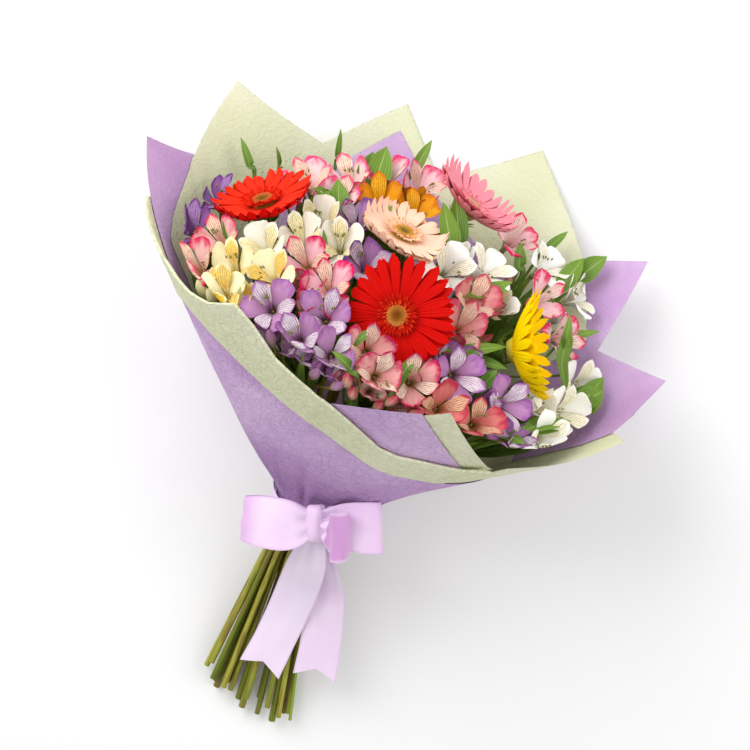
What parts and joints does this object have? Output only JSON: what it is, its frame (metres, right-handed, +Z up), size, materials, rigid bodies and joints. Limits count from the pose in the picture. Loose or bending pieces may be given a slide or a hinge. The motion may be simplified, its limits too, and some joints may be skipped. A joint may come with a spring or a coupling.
{
  "type": "mixed flower bouquet",
  "caption": "Wrapped bouquet of gerberas and alstroemerias in a two-coloured paper funnel with a folded cuff, tied with a satin bow; it lies on its back as a gift or decoration.",
  "frame": {"origin": "middle of the footprint on the table, at table height", "axes": "+Z up from the table; +Y along the table from the cut stems towards the blooms; +X to the bouquet's right, seen from its front with the stems down"},
  "size_m": [0.4768, 0.5912, 0.2976],
  "materials": {
    "lilac_paper": "matt embossed",
    "pale_green_paper": "matt embossed",
    "satin_ribbon": "soft satin sheen",
    "red_gerbera": "velvety",
    "yellow_gerbera": "velvety",
    "pink_gerbera": "velvety",
    "peach_gerbera": "velvety",
    "plum_alstroemeria": "soft matt",
    "rose_alstroemeria": "soft matt",
    "yellow_alstroemeria": "soft matt",
    "cream_alstroemeria": "soft matt",
    "magenta_alstroemeria": "soft matt",
    "violet_alstroemeria": "soft matt",
    "ochre_alstroemeria": "soft matt",
    "white_alstroemeria": "soft matt",
    "coral_alstroemeria": "soft matt",
    "salmon_alstroemeria": "soft matt",
    "stems_and_leaves": "smooth, slightly glossy",
    "yellow_filler": "matt",
    "twine": "matt"
  },
  "bodies": {
    "root": {"paper_lilac_back": "lilac_paper", "paper_green_back": "pale_green_paper", "paper_green_back_left": "pale_green_paper", "paper_green_back_right": "pale_green_paper", "paper_green_front_right": "pale_green_paper", "paper_lilac_left": "lilac_paper", "paper_lilac_right": "lilac_paper", "paper_lilac_front_right": "lilac_paper", "paper_green_right": "pale_green_paper", "paper_lilac_front": "lilac_paper", "paper_green_cuff": "pale_green_paper", "satin_ribbon_bow": "satin_ribbon", "gerbera_red_front_bloom": "red_gerbera", "gerbera_red_left_bloom": "red_gerbera", "gerbera_yellow_bloom": "yellow_gerbera", "gerbera_pink_bloom": "pink_gerbera", "gerbera_peach_bloom": "peach_gerbera", "alstroemeria_plum_left_blooms": "plum_alstroemeria", "alstroemeria_rose_left_blooms": "rose_alstroemeria", "alstroemeria_yellow_left_blooms": "yellow_alstroemeria", "alstroemeria_cream_blooms": "cream_alstroemeria", "alstroemeria_magenta_blooms": "magenta_alstroemeria", "alstroemeria_violet_front_blooms": "violet_alstroemeria", "alstroemeria_violet_mid_blooms": "violet_alstroemeria", "alstroemeria_rose_top_blooms": "rose_alstroemeria", "alstroemeria_rose_back_blooms": "rose_alstroemeria", "alstroemeria_ochre_back_blooms": "ochre_alstroemeria", "alstroemeria_white_mid_blooms": "white_alstroemeria", "alstroemeria_white_right_blooms": "white_alstroemeria", "alstroemeria_coral_right_blooms": "coral_alstroemeria", "alstroemeria_salmon_mid_blooms": "salmon_alstroemeria", "alstroemeria_salmon_front_blooms": "salmon_alstroemeria", "alstroemeria_salmon_low_blooms": "salmon_alstroemeria", "alstroemeria_violet_right_blooms": "violet_alstroemeria", "alstroemeria_white_low_blooms": "white_alstroemeria", "gerbera_red_front_stem": "stems_and_leaves", "gerbera_red_left_stem": "stems_and_leaves", "gerbera_yellow_stem": "stems_and_leaves", "gerbera_pink_stem": "stems_and_leaves", "gerbera_peach_stem": "stems_and_leaves", "alstroemeria_plum_left_stem": "stems_and_leaves", "alstroemeria_rose_left_stem": "stems_and_leaves", "alstroemeria_yellow_left_stem": "stems_and_leaves", "alstroemeria_cream_stem": "stems_and_leaves", "alstroemeria_magenta_stem": "stems_and_leaves", "alstroemeria_violet_front_stem": "stems_and_leaves", "alstroemeria_violet_mid_stem": "stems_and_leaves", "alstroemeria_rose_top_stem": "stems_and_leaves", "alstroemeria_rose_back_stem": "stems_and_leaves", "alstroemeria_ochre_back_stem": "stems_and_leaves", "alstroemeria_white_mid_stem": "stems_and_leaves", "alstroemeria_white_right_stem": "stems_and_leaves", "alstroemeria_coral_right_stem": "stems_and_leaves", "alstroemeria_salmon_mid_stem": "stems_and_leaves", "alstroemeria_salmon_front_stem": "stems_and_leaves", "alstroemeria_salmon_low_stem": "stems_and_leaves", "alstroemeria_violet_right_stem": "stems_and_leaves", "alstroemeria_white_low_stem": "stems_and_leaves", "yellow_filler_right": "yellow_filler", "binding_twine": "twine"}
  },
  "joints": []
}
